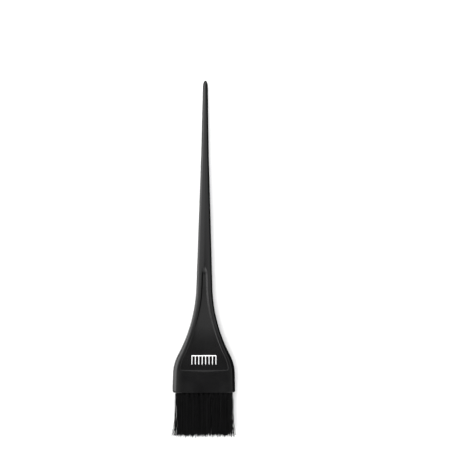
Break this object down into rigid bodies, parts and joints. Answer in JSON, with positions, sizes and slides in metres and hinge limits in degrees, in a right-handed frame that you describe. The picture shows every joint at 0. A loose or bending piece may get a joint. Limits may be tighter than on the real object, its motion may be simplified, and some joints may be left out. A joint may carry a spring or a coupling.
{
  "type": "hair tint brush",
  "caption": "Flat hair tint brush: a one-piece moulded rat-tail handle with a flared head that holds staggered tufts of nylon filament on flat-wire anchors.",
  "frame": {"origin": "centre of the bounding box's bottom: the brush lies on the flat back of its head, and z = 0 is the surface it lies on", "axes": "+X across the head, +Y from the bristles to the tip of the tail, +Z out of the front face"},
  "size_m": [0.0382, 0.2159, 0.0075],
  "materials": {
    "handle_plastic": "black moulded polypropylene, satin to semi-gloss",
    "filament_nylon": "black nylon filament, semi-gloss",
    "anchor_wire": "flat anchor wire, drawn finish",
    "mark_ink": "white pad-printed ink of the plain mark in the front panel"
  },
  "bodies": {
    "root": {"handle": "handle_plastic", "tuft_front_01": "filament_nylon", "tuft_front_02": "filament_nylon", "tuft_front_03": "filament_nylon", "tuft_front_04": "filament_nylon", "tuft_front_05": "filament_nylon", "tuft_front_06": "filament_nylon", "tuft_front_07": "filament_nylon", "tuft_front_08": "filament_nylon", "tuft_front_09": "filament_nylon", "tuft_front_10": "filament_nylon", "tuft_front_11": "filament_nylon", "tuft_front_12": "filament_nylon", "tuft_back_01": "filament_nylon", "tuft_back_02": "filament_nylon", "tuft_back_03": "filament_nylon", "tuft_back_04": "filament_nylon", "tuft_back_05": "filament_nylon", "tuft_back_06": "filament_nylon", "tuft_back_07": "filament_nylon", "tuft_back_08": "filament_nylon", "tuft_back_09": "filament_nylon", "tuft_back_10": "filament_nylon", "tuft_back_11": "filament_nylon", "anchor_front_01": "anchor_wire", "anchor_front_02": "anchor_wire", "anchor_front_03": "anchor_wire", "anchor_front_04": "anchor_wire", "anchor_front_05": "anchor_wire", "anchor_front_06": "anchor_wire", "anchor_front_07": "anchor_wire", "anchor_front_08": "anchor_wire", "anchor_front_09": "anchor_wire", "anchor_front_10": "anchor_wire", "anchor_front_11": "anchor_wire", "anchor_front_12": "anchor_wire", "anchor_back_01": "anchor_wire", "anchor_back_02": "anchor_wire", "anchor_back_03": "anchor_wire", "anchor_back_04": "anchor_wire", "anchor_back_05": "anchor_wire", "anchor_back_06": "anchor_wire", "anchor_back_07": "anchor_wire", "anchor_back_08": "anchor_wire", "anchor_back_09": "anchor_wire", "anchor_back_10": "anchor_wire", "anchor_back_11": "anchor_wire"}
  },
  "joints": []
}
